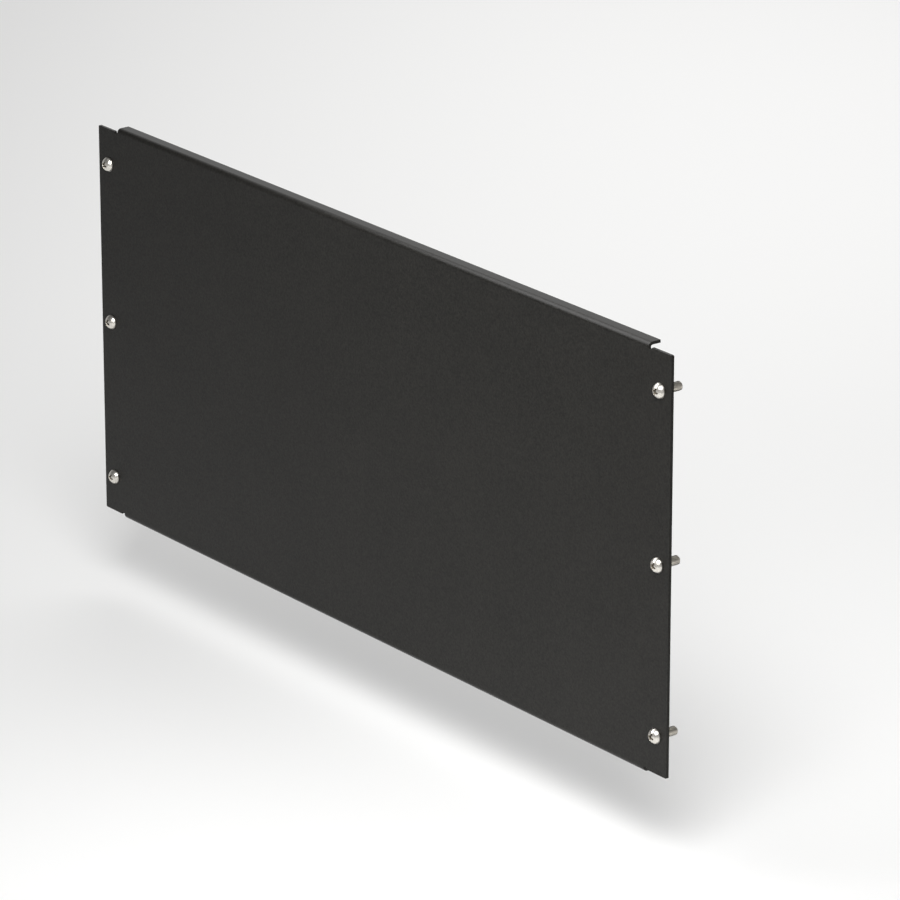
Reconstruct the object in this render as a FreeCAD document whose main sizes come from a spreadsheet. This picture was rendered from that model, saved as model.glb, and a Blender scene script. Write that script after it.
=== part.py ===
import FreeCAD, Part
import math
import os
import Sketcher

# Blanking panel for five units of a 19 inch rack, in millimetres.
# The mounting plane, where the back of the sheet meets the rack, is y = 0.
# The front of the panel looks towards -Y, +X runs along its width and +Z is up.
# The origin is the centre of the screw pattern on the mounting plane.

doc = FreeCAD.newDocument("rack_blanking_panel")

# Driving sizes
sizes = doc.addObject("Spreadsheet::Sheet", "Sizes")
driving_sizes = (
    ("rack_unit_pitch", 44.45, "height of one rack unit"),
    ("rack_units", 5, "units that the panel covers"),
    ("stacking_gap", 0.75, "height left free for the neighbours, both sides together"),
    ("panel_width", 482.6, "overall width with both ears"),
    ("ear_width", 15.875, "part of an ear that lies on the rack, up to the rack's opening"),
    ("hole_edge_distance", 8.75, "from the side edge of an ear to its column of holes"),
    ("sheet_thickness", 1.6, "coated sheet"),
    ("bend_inner_radius", 1.0, "inside radius of both bends"),
    ("flange_depth", 7.5, "front face to back edge of a return flange"),
    ("flange_end_gap", 1.6, "from the side of the rack's opening to a flange end"),
    ("relief_width", 2.4, "bend relief, along the width"),
    ("relief_overrun", 0.6, "how far a relief runs past the bend line"),
    ("relief_corner_radius", 0.5, "inner corners of a relief"),
    ("ear_setback", 2.0, "from a flange's outer face to the ear's edge"),
    ("ear_corner_radius", 0.8, "outer corners of the ears"),
    ("screw_diameter", 4.8, "outside of a mounting screw's thread"),
    ("screw_clearance", 0.4, "gap all round a thread in its hole"),
    ("screw_length", 12.7, "shank below the head"),
    ("neck_diameter", 4.2, "plain neck between the head and the thread"),
    ("neck_length", 1.6, "neck with the run-out of the thread, two pitches"),
    ("screw_tip_chamfer", 0.6, "chamfer at the tip"),
    ("head_diameter", 8.0, "domed head"),
    ("head_height", 3.3, "domed head, seat to crown"),
    ("head_side_height", 0.3, "straight side below the dome"),
    ("recess_width", 4.4, "cross recess, tip to tip"),
    ("recess_slot_width", 1.2, "width of each slot of the cross"),
    ("recess_depth", 1.8, "depth of the cross below the crown"),
    ("recess_draft", 8.0, "slope of the recess walls in degrees"),
)
for row, (alias, number, meaning) in enumerate(driving_sizes, start=1):
    sizes.set("A%d" % row, meaning)
    sizes.set("B%d" % row, str(number))
    sizes.setAlias("B%d" % row, alias)
doc.recompute()

# Sizes that follow from the driving ones, as formulas
HALF_HEIGHT = "(Sizes.rack_unit_pitch * Sizes.rack_units - Sizes.stacking_gap) / 2"
HALF_WIDTH = "Sizes.panel_width / 2"
FLANGE_HALF_LENGTH = "(Sizes.panel_width / 2 - Sizes.ear_width - Sizes.flange_end_gap)"
BEND_OUTER_RADIUS = "(Sizes.bend_inner_radius + Sizes.sheet_thickness)"
BEND_LINE = HALF_HEIGHT + " - " + BEND_OUTER_RADIUS
RELIEF_BOTTOM = BEND_LINE + " - Sizes.relief_overrun"
RELIEF_OUTER_SIDE = FLANGE_HALF_LENGTH + " + Sizes.relief_width"
EAR_EDGE = HALF_HEIGHT + " - Sizes.ear_setback"
ROW_SPACING = "Sizes.rack_unit_pitch * (Sizes.rack_units - 1) / 2"
COLUMN_PLACE = "(Sizes.panel_width / 2 - Sizes.hole_edge_distance)"

# Ids of the points of a sketch's edge, and of a sketch's own two axes
START, END, CENTRE = range(1, 4)
HORIZONTAL_AXIS, VERTICAL_AXIS = range(-1, -3, -1)
ORIGIN = (HORIZONTAL_AXIS, START)


def value(formula):
    """Present number of a formula of the sheet."""
    return float(sizes.evalExpression(formula))


def negative(formula):
    return "-(" + formula + ")"


def origin_feature(body, role):
    """Plane or axis of a body's own origin."""
    return next(item for item in body.Origin.OriginFeatures if item.Role == role)


def new_sketch(body, name, plane, offset=None):
    """Sketch on one of the body's origin planes, moved along its normal by a formula."""
    sketch = body.newObject("Sketcher::SketchObject", name)
    sketch.AttachmentSupport = [(origin_feature(body, plane), "")]
    sketch.MapMode = "FlatFace"
    if offset:
        sketch.setExpression("AttachmentOffset.Base.z", offset)
    return sketch


def bind(sketch, kind, places, formula):
    """Dimension whose number is a formula of the sheet."""
    sketch.addConstraint(Sketcher.Constraint(kind, *places, value(formula)))
    sketch.setExpression("Constraints[%d]" % (sketch.ConstraintCount - 1), formula)


def place_point(sketch, point, across, up):
    """Fix a point of the sketch by its two distances from the origin."""
    bind(sketch, "DistanceX", (*ORIGIN, *point), across)
    bind(sketch, "DistanceY", (*ORIGIN, *point), up)


def draw_outline(sketch, corners):
    """Closed outline of straight edges. Each corner is a pair of formulas."""
    points = [FreeCAD.Vector(value(across), value(up), 0) for across, up in corners]
    for point, following in zip(points, points[1:] + points[:1]):
        sketch.addGeometry(Part.LineSegment(point, following), False)
    for edge, (across, up) in enumerate(corners):
        before = (edge - 1) % len(corners)
        sketch.addConstraint(Sketcher.Constraint("Coincident", before, END, edge, START))
        place_point(sketch, (edge, START), across, up)


def four_ways(quarter):
    """Corners of the first quarter, repeated round the origin, with signs as formulas."""
    mirrored_up = [(across, negative(up)) for across, up in reversed(quarter)]
    right_half = quarter + mirrored_up
    left_half = [(negative(across), up) for across, up in reversed(right_half)]
    return right_half + left_half


def edges_at(shape, places, tolerance=0.01):
    """Names of the edges along Y that stand at the given places in x and z."""
    names = []
    for number, edge in enumerate(shape.Edges, start=1):
        box = edge.BoundBox
        if box.XLength > tolerance or box.ZLength > tolerance:
            continue
        if any(math.hypot(box.XMin - x, box.ZMin - z) < tolerance for x, z in places):
            names.append("Edge%d" % number)
    return names


def round_corners(body, name, base, places, radius):
    """Fillet on the corners that stand at the given places."""
    fillet = body.newObject("PartDesign::Fillet", name)
    fillet.Base = (base, edges_at(base.Shape, places))
    fillet.setExpression("Radius", radius)
    doc.recompute()
    return fillet


# Panel: one sheet, cut flat with its ears and reliefs, then folded along two lines
panel = doc.addObject("PartDesign::Body", "panel")
panel.Label = "panel"
panel.Placement = FreeCAD.Placement()

# Face and ears, with a relief at each end of both bend lines
blank_sketch = new_sketch(panel, "blank_sketch", "XZ_Plane")
draw_outline(blank_sketch, four_ways([
    (FLANGE_HALF_LENGTH, BEND_LINE),
    (FLANGE_HALF_LENGTH, RELIEF_BOTTOM),
    (RELIEF_OUTER_SIDE, RELIEF_BOTTOM),
    (RELIEF_OUTER_SIDE, EAR_EDGE),
    (HALF_WIDTH, EAR_EDGE),
]))
blank = panel.newObject("PartDesign::Pad", "blank")
blank.Profile = blank_sketch
blank.setExpression("Length", "Sizes.sheet_thickness")
doc.recompute()

# Return flange: its bend and its flat, drawn end on
flange_sketch = new_sketch(panel, "flange_sketch", "YZ_Plane")
outer_radius = value(BEND_OUTER_RADIUS)
inner_radius = value("Sizes.bend_inner_radius")
flange_top = value(HALF_HEIGHT)
flange_underside = flange_top - value("Sizes.sheet_thickness")
flange_back = value("Sizes.flange_depth - Sizes.sheet_thickness")
bend_centre = FreeCAD.Vector(inner_radius, value(BEND_LINE), 0)
TOP_LINE, BACK_LINE, UNDER_LINE, ROOT_LINE, OUTER_ARC, INNER_ARC = range(6)
for start, end in (
    ((inner_radius, flange_top), (flange_back, flange_top)),
    ((flange_back, flange_top), (flange_back, flange_underside)),
    ((flange_back, flange_underside), (inner_radius, flange_underside)),
    ((0, bend_centre.y), (inner_radius - outer_radius, bend_centre.y)),
):
    sketch_line = Part.LineSegment(FreeCAD.Vector(*start, 0), FreeCAD.Vector(*end, 0))
    flange_sketch.addGeometry(sketch_line, False)
for radius in (outer_radius, inner_radius):
    bend_circle = Part.Circle(bend_centre, FreeCAD.Vector(0, 0, 1), radius)
    flange_sketch.addGeometry(Part.ArcOfCircle(bend_circle, math.pi / 2, math.pi), False)
for joint in (
    ("Tangent", OUTER_ARC, START, TOP_LINE, START),
    ("Coincident", TOP_LINE, END, BACK_LINE, START),
    ("Coincident", BACK_LINE, END, UNDER_LINE, START),
    ("Tangent", UNDER_LINE, END, INNER_ARC, START),
    ("Coincident", INNER_ARC, END, ROOT_LINE, START),
    ("Coincident", ROOT_LINE, END, OUTER_ARC, END),
    ("Coincident", OUTER_ARC, CENTRE, INNER_ARC, CENTRE),
    ("PointOnObject", OUTER_ARC, CENTRE, ROOT_LINE),
    ("Horizontal", TOP_LINE),
    ("Vertical", BACK_LINE),
    ("Horizontal", UNDER_LINE),
    ("Horizontal", ROOT_LINE),
):
    flange_sketch.addConstraint(Sketcher.Constraint(*joint))
bind(flange_sketch, "Radius", (INNER_ARC,), "Sizes.bend_inner_radius")
bind(flange_sketch, "Radius", (OUTER_ARC,), BEND_OUTER_RADIUS)
bind(flange_sketch, "DistanceX", (*ORIGIN, OUTER_ARC, END), "-Sizes.sheet_thickness")
bind(flange_sketch, "DistanceX", (*ORIGIN, BACK_LINE, START),
     "Sizes.flange_depth - Sizes.sheet_thickness")
bind(flange_sketch, "DistanceY", (*ORIGIN, TOP_LINE, START), HALF_HEIGHT)

top_flange = panel.newObject("PartDesign::Pad", "top_flange")
top_flange.Profile = flange_sketch
top_flange.SideType = "Symmetric"
top_flange.setExpression("Length", "2 * " + FLANGE_HALF_LENGTH)
doc.recompute()

bottom_flange = panel.newObject("PartDesign::Mirrored", "bottom_flange")
bottom_flange.Originals = [top_flange]
bottom_flange.MirrorPlane = (origin_feature(panel, "XY_Plane"), [""])
panel.Tip = bottom_flange
doc.recompute()

# Six holes, in the middle of the first, the middle and the last unit
hole_sketch = new_sketch(panel, "hole_sketch", "XZ_Plane", "Sizes.sheet_thickness")
first_hole = FreeCAD.Vector(-value(COLUMN_PLACE), -value(ROW_SPACING), 0)
HOLE_DIAMETER = "Sizes.screw_diameter + 2 * Sizes.screw_clearance"
hole_circle = Part.Circle(first_hole, FreeCAD.Vector(0, 0, 1), value(HOLE_DIAMETER) / 2)
hole_sketch.addGeometry(hole_circle, False)
bind(hole_sketch, "Diameter", (0,), HOLE_DIAMETER)
place_point(hole_sketch, (0, CENTRE), negative(COLUMN_PLACE), negative(ROW_SPACING))
hole = panel.newObject("PartDesign::Pocket", "hole")
hole.Profile = hole_sketch
hole.setExpression("Length", "Sizes.sheet_thickness")
doc.recompute()


def screw_grid(body, name, originals):
    """Copies at every screw place: two columns and three rows, from the lowest left one."""
    grid = body.newObject("PartDesign::LinearPattern", name)
    grid.Originals = originals
    grid.Direction = (origin_feature(body, "X_Axis"), [""])
    grid.Mode = "Extent"
    grid.Occurrences = 2
    grid.setExpression("Length", "2 * " + COLUMN_PLACE)
    grid.Direction2 = (origin_feature(body, "Z_Axis"), [""])
    grid.Mode2 = "Extent"
    grid.Occurrences2 = 3
    grid.setExpression("Length2", "2 * " + ROW_SPACING)
    body.Tip = grid
    doc.recompute()
    return grid


all_holes = screw_grid(panel, "all_holes", [hole])

relief_corners = [
    (side * value(across), end * value(RELIEF_BOTTOM))
    for across in (FLANGE_HALF_LENGTH, RELIEF_OUTER_SIDE)
    for side in (-1, 1)
    for end in (-1, 1)
]
rounded_reliefs = round_corners(panel, "rounded_reliefs", all_holes, relief_corners,
                                "Sizes.relief_corner_radius")
ear_corners = [
    (side * value(HALF_WIDTH), end * value(EAR_EDGE))
    for side in (-1, 1)
    for end in (-1, 1)
]
rounded_ears = round_corners(panel, "rounded_ears", rounded_reliefs, ear_corners,
                             "Sizes.ear_corner_radius")
panel.Tip = rounded_ears

# Mounting screws: six alike, each with its head seated on the panel's front
# The body's own origin is the seat of the lowest left screw, with the shank along +Y.
mounting_screws = doc.addObject("PartDesign::Body", "mounting_screws")
mounting_screws.Label = "mounting_screws"
mounting_screws.AllowCompound = True
mounting_screws.setExpression("Placement.Base.x", negative(COLUMN_PLACE))
mounting_screws.setExpression("Placement.Base.y", "-Sizes.sheet_thickness")
mounting_screws.setExpression("Placement.Base.z", negative(ROW_SPACING))

# Half section of a screw, from the tip round to the crown
THREAD_RADIUS = "Sizes.screw_diameter / 2"
NECK_RADIUS = "Sizes.neck_diameter / 2"
HEAD_RADIUS = "Sizes.head_diameter / 2"
RUN_OUT = "(Sizes.screw_diameter - Sizes.neck_diameter) / 2"
section = [
    ("0", "Sizes.screw_length"),
    (THREAD_RADIUS + " - Sizes.screw_tip_chamfer", "Sizes.screw_length"),
    (THREAD_RADIUS, "Sizes.screw_length - Sizes.screw_tip_chamfer"),
    (THREAD_RADIUS, "Sizes.neck_length"),
    (NECK_RADIUS, "Sizes.neck_length - " + RUN_OUT),
    (NECK_RADIUS, "0"),
    (HEAD_RADIUS, "0"),
    (HEAD_RADIUS, "-Sizes.head_side_height"),
]
crown_top = FreeCAD.Vector(0, -value("Sizes.head_height"), 0)
section_points = [FreeCAD.Vector(value(across), value(up), 0) for across, up in section]
screw_sketch = new_sketch(mounting_screws, "screw_sketch", "XY_Plane")
for point, following in zip(section_points, section_points[1:]):
    screw_sketch.addGeometry(Part.LineSegment(point, following), False)
LAST_LINE = len(section) - 2
AXIS_LINE, CROWN = LAST_LINE + 1, LAST_LINE + 2
screw_sketch.addGeometry(Part.LineSegment(crown_top, section_points[0]), False)
crown_rise = value("Sizes.head_height - Sizes.head_side_height")
crown_radius = (value(HEAD_RADIUS) ** 2 + crown_rise ** 2) / (2 * crown_rise)
crown_circle = Part.Circle(crown_top + FreeCAD.Vector(0, crown_radius, 0),
                           FreeCAD.Vector(0, 0, 1), crown_radius)
crown_half_angle = math.asin(value(HEAD_RADIUS) / crown_radius)
screw_sketch.addGeometry(Part.ArcOfCircle(crown_circle, -math.pi / 2,
                                          -math.pi / 2 + crown_half_angle), False)
for line in range(LAST_LINE):
    joint = Sketcher.Constraint("Coincident", line, END, line + 1, START)
    screw_sketch.addConstraint(joint)
for line, (across, up) in enumerate(section[:-1]):
    place_point(screw_sketch, (line, START), across, up)
place_point(screw_sketch, (LAST_LINE, END), *section[-1])
place_point(screw_sketch, (AXIS_LINE, START), "0", "-Sizes.head_height")
for joint in (
    ("Coincident", AXIS_LINE, END, 0, START),
    ("Coincident", CROWN, START, AXIS_LINE, START),
    ("Coincident", CROWN, END, LAST_LINE, END),
    ("PointOnObject", CROWN, CENTRE, VERTICAL_AXIS),
):
    screw_sketch.addConstraint(Sketcher.Constraint(*joint))
turned_screw = mounting_screws.newObject("PartDesign::Revolution", "turned_screw")
turned_screw.Profile = screw_sketch
turned_screw.ReferenceAxis = (origin_feature(mounting_screws, "Y_Axis"), [""])
turned_screw.Angle = 360
doc.recompute()

# Cross recess in the crown
CROSS_REACH = "Sizes.recess_width / 2"
SLOT_HALF_WIDTH = "Sizes.recess_slot_width / 2"
recess_sketch = new_sketch(mounting_screws, "recess_sketch", "XZ_Plane", "Sizes.head_height")
draw_outline(recess_sketch, four_ways([
    (SLOT_HALF_WIDTH, CROSS_REACH),
    (SLOT_HALF_WIDTH, SLOT_HALF_WIDTH),
    (CROSS_REACH, SLOT_HALF_WIDTH),
]))
recess = mounting_screws.newObject("PartDesign::Pocket", "recess")
recess.Profile = recess_sketch
recess.setExpression("Length", "Sizes.recess_depth")
recess.setExpression("TaperAngle", "-Sizes.recess_draft")
doc.recompute()

screw_grid(mounting_screws, "all_screws", [turned_screw, recess])
doc.recompute()

# Every object has to be sound before anything is written
for item in doc.Objects:
    if "Invalid" in item.State or "Error" in item.State:
        raise RuntimeError("%s did not build" % item.Name)
bodies = (panel, mounting_screws)
for body in bodies:
    if body.Shape.isNull() or not body.Shape.isValid():
        raise RuntimeError("%s has no sound shape" % body.Label)

os.makedirs("parts", exist_ok=True)
for body in bodies:
    body.Shape.exportStep("parts/%s.step" % body.Label)
    print(body.Label, len(body.Shape.Solids), "solids", round(body.Shape.Volume, 1), "mm3")
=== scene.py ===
import math

import bmesh
import bpy
from mathutils import Matrix, Vector


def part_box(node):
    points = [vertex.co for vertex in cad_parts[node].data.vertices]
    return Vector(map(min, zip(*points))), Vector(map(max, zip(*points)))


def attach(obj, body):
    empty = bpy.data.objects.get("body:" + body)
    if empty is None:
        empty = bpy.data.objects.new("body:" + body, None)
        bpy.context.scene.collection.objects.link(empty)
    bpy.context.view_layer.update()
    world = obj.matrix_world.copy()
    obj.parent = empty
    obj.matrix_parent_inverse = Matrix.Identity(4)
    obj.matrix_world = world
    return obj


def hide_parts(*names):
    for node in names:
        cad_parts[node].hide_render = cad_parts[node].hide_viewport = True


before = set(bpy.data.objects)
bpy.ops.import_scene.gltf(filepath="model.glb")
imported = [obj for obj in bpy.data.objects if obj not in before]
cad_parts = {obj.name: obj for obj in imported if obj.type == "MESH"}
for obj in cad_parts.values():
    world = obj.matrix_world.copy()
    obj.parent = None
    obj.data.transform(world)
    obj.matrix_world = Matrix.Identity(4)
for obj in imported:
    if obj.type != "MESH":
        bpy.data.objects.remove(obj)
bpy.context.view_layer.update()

# The blank and its folds
# The panel is one sheet of steel. It is cut flat, with a plain ear at each end and a relief at each
# end of both fold lines, and then its top and bottom edges are folded back to stiffen it.
panel_low, panel_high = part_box("panel")
HALF_WIDTH = panel_high.x
HALF_HEIGHT = panel_high.z
FLANGE_BACK = panel_high.y
SHEET_THICKNESS = -panel_low.y
BEND_INNER_RADIUS = 0.001
BEND_LINE = HALF_HEIGHT - BEND_INNER_RADIUS - SHEET_THICKNESS
BEND_STEPS = 14
EAR_WIDTH = 0.015875
EAR_SETBACK = 0.0020
EAR_EDGE = HALF_HEIGHT - EAR_SETBACK
EAR_CORNER_RADIUS = 0.0008
EAR_CORNER_STEPS = 8
FLANGE_END_GAP = 0.0016
FLANGE_END = HALF_WIDTH - EAR_WIDTH - FLANGE_END_GAP
RELIEF_WIDTH = 0.0024
RELIEF_SIDE = FLANGE_END + RELIEF_WIDTH
RELIEF_OVERRUN = 0.0006
RELIEF_BOTTOM = BEND_LINE - RELIEF_OVERRUN
RELIEF_CORNER_RADIUS = 0.0005
RELIEF_CORNER_STEPS = 6
HOLE_EDGE_DISTANCE = 0.00875
HOLE_COLUMN = HALF_WIDTH - HOLE_EDGE_DISTANCE
HOLE_ROW_STEP = 0.0889
HOLE_ROWS = (-HOLE_ROW_STEP, 0.0, HOLE_ROW_STEP)
HOLE_RADIUS = 0.0028
HOLE_STEPS = 48
HOLE_MARGIN = 0.0045
HOLE_SURROUND = 1.5 * HOLE_MARGIN
NEARBY = 0.00001

sheet = bmesh.new()
bmesh.ops.create_grid(sheet, x_segments=1, y_segments=1, size=1,
                      matrix=Matrix.Translation((0, -SHEET_THICKNESS, 0))
                      @ Matrix.Rotation(math.pi / 2, 4, "X")
                      @ Matrix.Diagonal((HALF_WIDTH, EAR_EDGE, 1, 1)))


def cut_across(mesh, axis, places, reach):
    """Cuts the mesh square to an axis at each of the places, out to a reach in x on both sides."""
    for place in places:
        cells = [face for face in mesh.faces if abs(face.calc_center_median().x) < reach]
        borders = {edge for face in cells for edge in face.edges}
        corners = {corner for face in cells for corner in face.verts}
        bmesh.ops.bisect_plane(mesh, geom=cells + list(borders) + list(corners),
                               dist=NEARBY, plane_co=axis * place, plane_no=axis)


across = Vector((1, 0, 0))
up = Vector((0, 0, 1))
for side in (-1, 1):
    cut_across(sheet, across, [side * FLANGE_END, side * RELIEF_SIDE], HALF_WIDTH)
    beside_hole = [side * (HOLE_COLUMN - HOLE_MARGIN), side * (HOLE_COLUMN + HOLE_MARGIN)]
    cut_across(sheet, across, beside_hole, HALF_WIDTH)
for end in (-1, 1):
    cut_across(sheet, up, [end * RELIEF_BOTTOM, end * BEND_LINE], RELIEF_SIDE)
for row in HOLE_ROWS:
    cut_across(sheet, up, [row - HOLE_MARGIN, row + HOLE_MARGIN], HALF_WIDTH)

waste = []
for cell in sheet.faces:
    middle = cell.calc_center_median()
    over_fold = abs(middle.x) < RELIEF_SIDE and abs(middle.z) > BEND_LINE
    in_relief = FLANGE_END < abs(middle.x) < RELIEF_SIDE and abs(middle.z) > RELIEF_BOTTOM
    if over_fold or in_relief:
        waste.append(cell)
bmesh.ops.delete(sheet, geom=waste, context="FACES")


def edges_of(items):
    """The edges among an operator's results."""
    return [item for item in items if isinstance(item, bmesh.types.BMEdge)]


def corners_of(items):
    """The corners among an operator's results."""
    return [item for item in items if isinstance(item, bmesh.types.BMVert)]


# Each hole is a square cell of the sheet whose border is drawn in to a circle.
for side in (-1, 1):
    for row in HOLE_ROWS:
        centre = Vector((side * HOLE_COLUMN, -SHEET_THICKNESS, row))
        cell = min(sheet.faces, key=lambda face: (face.calc_center_median() - centre).length)
        sides = cell.edges[:]
        bmesh.ops.delete(sheet, geom=[cell], context="FACES_ONLY")
        bmesh.ops.subdivide_edges(sheet, edges=sides, cuts=HOLE_STEPS // len(sides) - 1)
        border = [edge for edge in sheet.edges if edge.is_boundary
                  and all((corner.co - centre).length < HOLE_SURROUND for corner in edge.verts)]
        rim = bmesh.ops.extrude_edge_only(sheet, edges=border)["geom"]
        for corner in corners_of(rim):
            corner.co = centre + (corner.co - centre).normalized() * HOLE_RADIUS

# Each fold is turned about its own line, and its flat runs back from the end of the turn.
for end in (-1, 1):
    fold_edges = [edge for edge in sheet.edges
                  if all(abs(corner.co.z - end * BEND_LINE) < NEARBY for corner in edge.verts)
                  and all(abs(corner.co.x) < FLANGE_END + NEARBY for corner in edge.verts)]
    turned = bmesh.ops.spin(sheet, geom=fold_edges, cent=(0, BEND_INNER_RADIUS, end * BEND_LINE),
                            axis=(1, 0, 0), angle=-end * math.pi / 2, steps=BEND_STEPS)["geom_last"]
    flat = bmesh.ops.extrude_edge_only(sheet, edges=edges_of(turned))["geom"]
    bmesh.ops.translate(sheet, verts=corners_of(flat), vec=(0, FLANGE_BACK - BEND_INNER_RADIUS, 0))

bmesh.ops.remove_doubles(sheet, verts=sheet.verts, dist=NEARBY)
bmesh.ops.recalc_face_normals(sheet, faces=sheet.faces)
front_face = max(sheet.faces, key=lambda face: face.calc_area())
if front_face.normal.y > 0:
    bmesh.ops.reverse_faces(sheet, faces=sheet.faces)
bmesh.ops.solidify(sheet, geom=sheet.faces[:], thickness=SHEET_THICKNESS)


def upright_edges(mesh, places):
    """Edges along Y that stand at the given places in x and z."""
    return [edge for edge in mesh.edges
            if any(all(math.hypot(corner.co.x - x, corner.co.z - z) < NEARBY for corner in edge.verts)
                   for x, z in places)]


def round_edges(mesh, edges, radius, steps):
    """Rounds edges of the mesh with an even bevel."""
    bmesh.ops.bevel(mesh, geom=edges, offset=radius, offset_type="OFFSET", segments=steps,
                    profile=0.5, affect="EDGES", clamp_overlap=True, material=-1)


relief_corners = [(side * x, end * RELIEF_BOTTOM) for x in (FLANGE_END, RELIEF_SIDE)
                  for side in (-1, 1) for end in (-1, 1)]
ear_corners = [(side * HALF_WIDTH, end * EAR_EDGE) for side in (-1, 1) for end in (-1, 1)]
round_edges(sheet, upright_edges(sheet, relief_corners), RELIEF_CORNER_RADIUS, RELIEF_CORNER_STEPS)
round_edges(sheet, upright_edges(sheet, ear_corners), EAR_CORNER_RADIUS, EAR_CORNER_STEPS)

# The coating runs over every cut edge and leaves it soft. The steps of the relief's corners are
# shorter than this radius, and hold all the edges to about 0.13 mm.
COATED_EDGE_RADIUS = 0.00022
COATED_EDGE_STEPS = 3
SHARP = math.radians(40)
cut_edges = [edge for edge in sheet.edges if edge.is_manifold and edge.calc_face_angle() > SHARP]
round_edges(sheet, cut_edges, COATED_EDGE_RADIUS, COATED_EDGE_STEPS)


def as_object(name, mesh):
    """Turns a finished bmesh into an object of the scene, at the origin."""
    data = bpy.data.meshes.new(name)
    mesh.to_mesh(data)
    mesh.free()
    made = bpy.data.objects.new(name, data)
    bpy.context.scene.collection.objects.link(made)
    return made


def make_piece(name, mesh):
    """Turns a finished bmesh into a piece that is smooth up to its sharp edges."""
    piece = as_object(name, mesh)
    piece.data.shade_smooth()
    piece.data.set_sharp_from_angle(angle=SHARP)
    weighted = piece.modifiers.new("even_normals", "WEIGHTED_NORMAL")
    weighted.mode = "FACE_AREA"
    weighted.weight = 100
    weighted.keep_sharp = True
    return piece


coated_panel = make_piece("coated_panel", sheet)


class Value:
    """A socket of a material's nodes, with sums that add their own Math nodes."""

    def __init__(self, paint, socket):
        self.paint = paint
        self.socket = socket

    def sum_with(self, operation, first, second):
        return self.paint.node("ShaderNodeMath", {"operation": operation}, {0: first, 1: second})

    def __add__(self, other):
        return self.sum_with("ADD", self, other)

    def __mul__(self, other):
        return self.sum_with("MULTIPLY", self, other)

    def __sub__(self, other):
        return self.sum_with("SUBTRACT", self, other)

    def __rsub__(self, other):
        return self.sum_with("SUBTRACT", other, self)

    __radd__ = __add__
    __rmul__ = __mul__


class Paint:
    """The nodes of a material or of the room's light, built up round its one shader."""

    def __init__(self, owner, shader="Principled BSDF", **constants):
        self.owner = owner
        owner.use_nodes = True
        self.tree = owner.node_tree
        self.shader = self.tree.nodes[shader]
        for socket, number in constants.items():
            self.shader.inputs[socket.replace("_", " ")].default_value = number

    def node(self, kind, settings=None, inputs=None, output=0):
        """Adds a node, sets it up, fills its sockets and gives back one of its outputs."""
        made = self.tree.nodes.new(kind)
        for setting, choice in (settings or {}).items():
            setattr(made, setting, choice)
        for socket, filling in (inputs or {}).items():
            if isinstance(filling, Value):
                self.tree.links.new(filling.socket, made.inputs[socket])
            else:
                made.inputs[socket].default_value = filling
        return Value(self, made.outputs[output])

    def place(self):
        """Where a point of the surface lies, in metres."""
        return self.node("ShaderNodeTexCoord", output="Object")

    def noise(self, size, detail=2.0):
        """Noise from 0 to 1 whose blotches are about this size in metres."""
        return self.node("ShaderNodeTexNoise", {"noise_dimensions": "3D"},
                         {"Vector": self.place(), "Scale": 1 / size, "Detail": detail, "Roughness": 0.5})

    def blend(self, share, first, second):
        """Colour between two others. The node has its colours at sockets 6 and 7, and gives one at 2."""
        return self.node("ShaderNodeMix", {"data_type": "RGBA"}, {0: share, 6: first, 7: second}, 2)

    def bump(self, height, depth):
        """Normal from a height between 0 and 1 that stands for this depth in metres."""
        return self.node("ShaderNodeBump", {}, {"Height": height, "Distance": depth, "Strength": 1.0})

    def soft_step(self, value, low, high):
        """From 0 where the value is below low to 1 where it is above high."""
        return self.node("ShaderNodeMapRange", {"interpolation_type": "SMOOTHSTEP"},
                         {"Value": value, "From Min": low, "From Max": high}, "Result")

    def feed(self, socket, value):
        """Links a value to a socket of the shader."""
        self.tree.links.new(value.socket, self.shader.inputs[socket])


# The finish is a black powder coat, baked on. It dries to a fine, even orange peel, and its tone
# and gloss vary a little, with the grain of the powder and more slowly over the sheet.
COAT_DARK = (0.0040, 0.0037, 0.0031, 1)
COAT_LIGHT = (0.0208, 0.0196, 0.0170, 1)
COAT_ROUGHNESS = 0.28
ROUGHER_IN_CLOUD = 0.05
ROUGHER_IN_GRAIN = 0.08
CLOUD_SIZE = 0.05
PEEL_SIZE = 0.0014
GRAIN_SIZE = 0.0010
COAT_RELIEF = 0.00003
powder_coat = Paint(bpy.data.materials.new("black_powder_coat"), Specular_IOR_Level=0.18, IOR=1.5)
grain = powder_coat.noise(GRAIN_SIZE, detail=1.0)
peel = powder_coat.noise(PEEL_SIZE)
cloud = powder_coat.noise(CLOUD_SIZE, detail=3.0)
speckle = 2 * (grain * 0.8 + cloud * 0.2) - 0.5
powder_coat.feed("Base Color", powder_coat.blend(speckle, COAT_DARK, COAT_LIGHT))
powder_coat.feed("Roughness", COAT_ROUGHNESS + ROUGHER_IN_CLOUD * cloud + ROUGHER_IN_GRAIN * grain)
powder_coat.feed("Normal", powder_coat.bump(peel * 0.75 + grain * 0.25, COAT_RELIEF))
coated_panel.data.materials.append(powder_coat.owner)
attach(coated_panel, "root")
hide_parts("panel")

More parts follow.
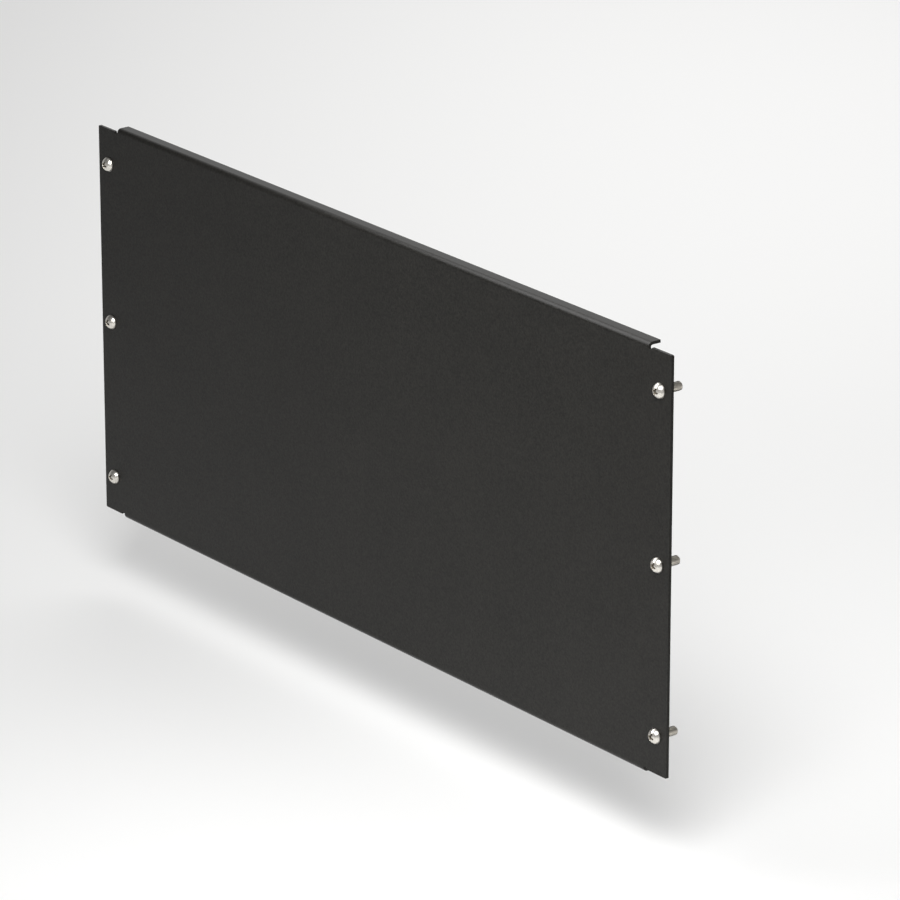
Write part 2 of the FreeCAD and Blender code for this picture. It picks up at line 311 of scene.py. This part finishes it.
# Mounting screws
# Six alike: steel machine screws with a domed head and a cross recess, cold headed, rolled and nickel
# plated. Each goes through a hole of an ear, and its head is seated on the front of the sheet.
SCREW_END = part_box("mounting_screws")[1].y
SHANK_LENGTH = SCREW_END + SHEET_THICKNESS
HEAD_RADIUS = 0.0040
HEAD_HEIGHT = 0.0033
HEAD_SIDE = 0.0003
CROWN_RISE = HEAD_HEIGHT - HEAD_SIDE
CROWN_RADIUS = (HEAD_RADIUS ** 2 + CROWN_RISE ** 2) / (2 * CROWN_RISE)
CROWN_STEPS = 16
SEAT_RIM_RADIUS = 0.00012
SEAT_RIM_STEPS = 3
THREAD_RADIUS = 0.0024
THREAD_PITCH = 0.00079375
THREAD_DEPTH = 0.00043
NECK_RADIUS = 0.0021
NECK_END = 0.0013
TIP_CHAMFER = 0.0006
TURN_STEPS = 48
AXIS = (0, 1, 0)
SAME_CORNER = 0.000001

# The head and the neck are turned from half of their outline, with the head's seat at y = 0.
screw = bmesh.new()
crown_top = screw.verts.new((0, -HEAD_HEIGHT, 0))
crown_angle = math.asin(HEAD_RADIUS / CROWN_RADIUS)
crown_arc = bmesh.ops.spin(screw, geom=[crown_top], cent=(0, CROWN_RADIUS - HEAD_HEIGHT, 0),
                           axis=(0, 0, 1), angle=crown_angle, steps=CROWN_STEPS)["geom_last"]
corner = corners_of(crown_arc)[0]
for radius, depth in ((HEAD_RADIUS, 0), (NECK_RADIUS, 0), (NECK_RADIUS, NECK_END)):
    following = screw.verts.new((radius, depth, 0))
    screw.edges.new((corner, following))
    corner = following
bmesh.ops.spin(screw, geom=screw.verts[:] + screw.edges[:], cent=(0, 0, 0), axis=AXIS,
               angle=2 * math.pi, steps=TURN_STEPS, use_merge=True)
bmesh.ops.remove_doubles(screw, verts=screw.verts, dist=SAME_CORNER)

# The thread is a zigzag line that moves on by one pitch while it is turned once. A tooth's corners
# are given by their share of the pitch and their radius.
ROOT_RADIUS = THREAD_RADIUS - THREAD_DEPTH
TOOTH = ((0.0, ROOT_RADIUS), (0.25, ROOT_RADIUS), (0.5625, THREAD_RADIUS), (0.6875, THREAD_RADIUS))
thread = bmesh.new()
turns = math.ceil((SHANK_LENGTH - NECK_END) / THREAD_PITCH) + 2
previous = None
for turn in range(turns):
    for share, radius in TOOTH:
        point = thread.verts.new((radius, NECK_END + (turn - 1 + share) * THREAD_PITCH, 0))
        if previous:
            thread.edges.new((previous, point))
        previous = point
bmesh.ops.spin(thread, geom=thread.verts[:] + thread.edges[:], cent=(0, 0, 0), axis=AXIS,
               dvec=(0, THREAD_PITCH / TURN_STEPS, 0), angle=2 * math.pi, steps=TURN_STEPS)
bmesh.ops.remove_doubles(thread, verts=thread.verts, dist=SAME_CORNER)

# It stays within the cone that runs out from the neck and the chamfer of the tip. What lies past
# either end is drawn back onto it.
for point in thread.verts:
    depth = min(max(point.co.y, NECK_END), SHANK_LENGTH)
    outer = min(NECK_RADIUS + depth - NECK_END, THREAD_RADIUS - TIP_CHAMFER + SHANK_LENGTH - depth)
    radius = math.hypot(point.co.x, point.co.z)
    past_end = depth != point.co.y
    kept = outer if past_end else min(radius, outer)
    point.co = Vector((point.co.x * kept / radius, depth, point.co.z * kept / radius))
bmesh.ops.remove_doubles(thread, verts=thread.verts, dist=SAME_CORNER)
thread_data = bpy.data.meshes.new("thread")
thread.to_mesh(thread_data)
thread.free()
screw.from_mesh(thread_data)
bpy.data.meshes.remove(thread_data)
bmesh.ops.remove_doubles(screw, verts=screw.verts, dist=SAME_CORNER)
bmesh.ops.holes_fill(screw, edges=[edge for edge in screw.edges if edge.is_boundary], sides=0)
bmesh.ops.recalc_face_normals(screw, faces=screw.faces)
seat_rim = [edge for edge in screw.edges
            if all(math.hypot(corner.co.x, corner.co.z) > HEAD_RADIUS - NEARBY
                   and abs(corner.co.y) < NEARBY for corner in edge.verts)]
round_edges(screw, seat_rim, SEAT_RIM_RADIUS, SEAT_RIM_STEPS)

# The cross recess is punched into the crown: two tapered slots and a blunt point between them.
# Each punch is wider above the crown, where it starts, than on the floor of the recess. The two
# shares of a slot's punch there are those of its reach and of its half width.
RECESS_REACH = 0.0022
RECESS_HALF_SLOT = 0.0006
SHARES_ABOVE = (1.09, 1.03)
SHARES_ON_FLOOR = (0.62, 0.72)
RECESS_DEPTH = 0.0018
RECESS_TURN = math.radians(20)
RECESS_FLOOR = RECESS_DEPTH - HEAD_HEIGHT
PUNCH_CLEARANCE = 0.0004
PUNCH_TOP = -HEAD_HEIGHT - PUNCH_CLEARANCE
POINT_OVERRUN = 0.0003
POINT_TOP_RADIUS = 0.00125
POINT_TIP_RADIUS = 0.0003
POINT_STEPS = 24


def tapered_slot(angle):
    """Closed wedge across the crown, turned about the screw's axis."""
    wedge = bmesh.new()
    bmesh.ops.create_cube(wedge, size=2)
    for point in wedge.verts:
        above = point.co.y < 0
        depth = PUNCH_TOP if above else RECESS_FLOOR
        shares = SHARES_ABOVE if above else SHARES_ON_FLOOR
        reach = RECESS_REACH * shares[0]
        half_slot = RECESS_HALF_SLOT * shares[1]
        point.co = Vector((point.co.x * reach, depth, point.co.z * half_slot))
    bmesh.ops.rotate(wedge, verts=wedge.verts, cent=(0, 0, 0),
                     matrix=Matrix.Rotation(angle + RECESS_TURN, 3, "Y"))
    return wedge


def blunt_point():
    """Closed cone between the slots, a little deeper than they are."""
    cone = bmesh.new()
    reach = PUNCH_CLEARANCE + RECESS_DEPTH + POINT_OVERRUN
    bmesh.ops.create_cone(cone, cap_ends=True, segments=POINT_STEPS, depth=reach,
                          radius1=POINT_TOP_RADIUS, radius2=POINT_TIP_RADIUS,
                          matrix=Matrix.Translation((0, PUNCH_TOP + reach / 2, 0))
                          @ Matrix.Rotation(-math.pi / 2, 4, "X"))
    return cone


blank_screw = as_object("blank_screw", screw)
punch_meshes = [tapered_slot(0), tapered_slot(math.pi / 2), blunt_point()]
punches = [as_object("punch", mesh) for mesh in punch_meshes]
for punch in punches:
    punched = blank_screw.modifiers.new("recess", "BOOLEAN")
    punched.operation = "DIFFERENCE"
    punched.solver = "EXACT"
    punched.object = punch
evaluated = blank_screw.evaluated_get(bpy.context.evaluated_depsgraph_get())
punched_data = bpy.data.meshes.new_from_object(evaluated)
for helper in [blank_screw, *punches]:
    bpy.data.objects.remove(helper)

screws = bmesh.new()
for side in (-1, 1):
    for row in HOLE_ROWS:
        placed_before = len(screws.verts)
        screws.from_mesh(punched_data)
        bmesh.ops.translate(screws, verts=screws.verts[:][placed_before:],
                            vec=(side * HOLE_COLUMN, -SHEET_THICKNESS, row))
plated_screws = make_piece("plated_screws", screws)

NICKEL = (0.74, 0.70, 0.635, 1)
NICKEL_PALE = (0.84, 0.82, 0.77, 1)
# A darker nickel that is painted into the recess as shade.
NICKEL_PAINTED_SHADE = (0.42, 0.39, 0.34, 1)
NICKEL_ROUGHNESS = 0.24
ROUGHER_IN_PLATE_CLOUD = 0.14
ROUGHER_IN_RECESS = 0.16
PLATE_CLOUD_SIZE = 0.0015
PLATE_GRAIN_SIZE = 0.0004
PLATE_RELIEF = 0.000004
nickel_plate = Paint(bpy.data.materials.new("nickel_plate"), Metallic=1.0)
plate_cloud = nickel_plate.noise(PLATE_CLOUD_SIZE, detail=3.0)
plate_colour = nickel_plate.blend(plate_cloud, NICKEL, NICKEL_PALE)

# In the recess the nickel is painted darker, as painted shade, and it is also rougher. The recess lies
# nearer to the centre of the crown's curve than the crown does. Object coordinates are folded onto one
# screw, because all six are alike.
SHADE_AND_DULL_START = 0.00005
SHADE_AND_DULL_FULL = 0.0005
SHADE_AND_DULL_RUNOUT = 0.0002
place_x, place_y, place_z = (nickel_plate.node("ShaderNodeSeparateXYZ", {},
                                               {"Vector": nickel_plate.place()}, axis)
                             for axis in "XYZ")
aside = nickel_plate.node("ShaderNodeMath", {"operation": "ABSOLUTE"}, {0: place_x}) - HOLE_COLUMN
along = nickel_plate.node("ShaderNodeMath", {"operation": "WRAP"},
                          {0: place_z, 1: HOLE_ROW_STEP / 2, 2: -HOLE_ROW_STEP / 2})
behind = place_y - (CROWN_RADIUS - HEAD_HEIGHT - SHEET_THICKNESS)
offset = nickel_plate.node("ShaderNodeCombineXYZ", {}, {"X": aside, "Y": behind, "Z": along})
from_centre = nickel_plate.node("ShaderNodeVectorMath", {"operation": "LENGTH"}, {0: offset}, "Value")
under_crown = 1 - nickel_plate.soft_step(from_centre, CROWN_RADIUS - SHADE_AND_DULL_FULL,
                                         CROWN_RADIUS - SHADE_AND_DULL_START)
deepest = RECESS_FLOOR + POINT_OVERRUN - SHEET_THICKNESS
above_shank = 1 - nickel_plate.soft_step(place_y, deepest, deepest + SHADE_AND_DULL_RUNOUT)
recess_shade_and_dullness = under_crown * above_shank
# Painted shade: the recess gets the darker nickel as its colour. Its greater roughness below is not
# painted light.
nickel_plate.feed("Base Color", nickel_plate.blend(recess_shade_and_dullness, plate_colour, NICKEL_PAINTED_SHADE))
nickel_plate.feed("Roughness", NICKEL_ROUGHNESS + ROUGHER_IN_PLATE_CLOUD * plate_cloud
                  + ROUGHER_IN_RECESS * recess_shade_and_dullness)
nickel_plate.feed("Normal", nickel_plate.bump(nickel_plate.noise(PLATE_GRAIN_SIZE), PLATE_RELIEF))
plated_screws.data.materials.append(nickel_plate.owner)
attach(plated_screws, "root")
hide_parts("mounting_screws")

# Floor
# A plain, matt white floor that runs out of sight on all sides. It lies one rack unit below the
# panel and takes its shadow.
FLOOR_DROP = 0.04445
FLOOR_REACH = 30
FLOOR_WHITE = (0.88, 0.878, 0.87, 1)
floor_mesh = bmesh.new()
bmesh.ops.create_grid(floor_mesh, x_segments=1, y_segments=1, size=FLOOR_REACH,
                      matrix=Matrix.Translation((0, 0, -HALF_HEIGHT - FLOOR_DROP)))
floor = as_object("floor", floor_mesh)
floor_paint = Paint(bpy.data.materials.new("white_floor"), Base_Color=FLOOR_WHITE, Roughness=1.0,
                    Specular_IOR_Level=0.0)

# To the eye and in reflections the floor is a little whiter than its light makes it.
WHITENING = 0.30
by_eye, in_gloss, through_glass = (floor_paint.node("ShaderNodeLightPath", output=f"Is {ray} Ray")
                                   for ray in ("Camera", "Glossy", "Transmission"))
lit = Value(floor_paint, floor_paint.shader.outputs["BSDF"])
white = floor_paint.node("ShaderNodeEmission", {}, {"Color": (1, 1, 1, 1), "Strength": 1.0}, "Emission")
share_of_white = WHITENING * (by_eye + in_gloss + through_glass)
whitened = floor_paint.node("ShaderNodeMixShader", {}, {0: share_of_white, 1: lit, 2: white}, "Shader")
floor_paint.tree.links.new(whitened.socket, floor_paint.tree.nodes["Material Output"].inputs["Surface"])
floor.data.materials.append(floor_paint.owner)

# Light
# A room with pale walls and a dim ceiling, and a white backdrop behind the left end. A soft lamp hangs
# high in front to the right, a long one over the floor behind, and a slim one lights the top fold.
scene = bpy.context.scene
WALL_LEVEL = 0.42
CEILING_LEVEL = 0.14
BACKDROP_LEVEL = 0.96
TOWARD_BACKDROP = (-0.748, 0.572, 0.338)
BACKDROP_EDGE = (0.76, 0.92)
CEILING_EDGE = (0.10, 0.55)
room = Paint(bpy.data.worlds.new("room"), "Background", Color=(1, 1, 1, 1))
scene.world = room.owner
direction = room.node("ShaderNodeTexCoord", output="Generated")
rise = room.node("ShaderNodeSeparateXYZ", {}, {"Vector": direction}, "Z")
nearness = room.node("ShaderNodeVectorMath", {"operation": "DOT_PRODUCT"},
                     {0: direction, 1: TOWARD_BACKDROP}, "Value")
in_backdrop = room.soft_step(nearness, *BACKDROP_EDGE)
walls = WALL_LEVEL + (CEILING_LEVEL - WALL_LEVEL) * room.soft_step(rise, *CEILING_EDGE)
room.feed("Strength", walls * (1 - in_backdrop) + BACKDROP_LEVEL * in_backdrop)


def soft_lamp(name, place, target, size, power, spread, turn=0):
    """A rectangular lamp, of a width and a height, that faces a point. The eye doesn't see it."""
    lamp = bpy.data.lights.new(name, "AREA")
    lamp.shape = "RECTANGLE"
    lamp.size, lamp.size_y = size
    lamp.energy = power
    lamp.spread = math.radians(spread)
    stand = bpy.data.objects.new(name, lamp)
    facing_target = (Vector(target) - Vector(place)).to_track_quat("-Z", "Y").to_matrix().to_4x4()
    turned_to_it = facing_target @ Matrix.Rotation(math.radians(turn), 4, "Z")
    stand.matrix_world = Matrix.Translation(place) @ turned_to_it
    stand.visible_camera = False
    scene.collection.objects.link(stand)


soft_lamp("front", place=(0.62, -0.50, 0.88), target=(0.06, 0, -0.03), size=(0.62, 0.62),
          power=5.4, spread=110)
soft_lamp("behind", place=(-0.80, 0.98, 1.15), target=(-0.80, 0.98, 0), size=(1.0, 1.8),
          power=4.6, spread=76, turn=52.6)
soft_lamp("left", place=(-0.224, -0.20, 0.472), target=(0.24, 0, 0.11), size=(0.80, 0.26),
          power=0.85, spread=80, turn=-25.6)

# Camera
# It stands to the right of the front and a little above it, and sees the panel from far off through
# a long lens.
AZIMUTH = math.radians(52.584)
ELEVATION = math.radians(19.727)
DISTANCE = 3.004
AIM = Vector((0.02636, 0.03045, -0.00681))
LENS = 235.18
SENSOR_WIDTH = 36
camera = bpy.data.cameras.new("camera")
camera.lens = LENS
camera.sensor_width = SENSOR_WIDTH
camera_object = bpy.data.objects.new("camera", camera)
backwards = Vector((math.sin(AZIMUTH) * math.cos(ELEVATION), -math.cos(AZIMUTH) * math.cos(ELEVATION),
                    math.sin(ELEVATION)))
camera_object.location = AIM + backwards * DISTANCE
camera_object.rotation_euler = backwards.to_track_quat("Z", "Y").to_euler()
scene.collection.objects.link(camera_object)
scene.camera = camera_object
scene.view_settings.view_transform = "Standard"
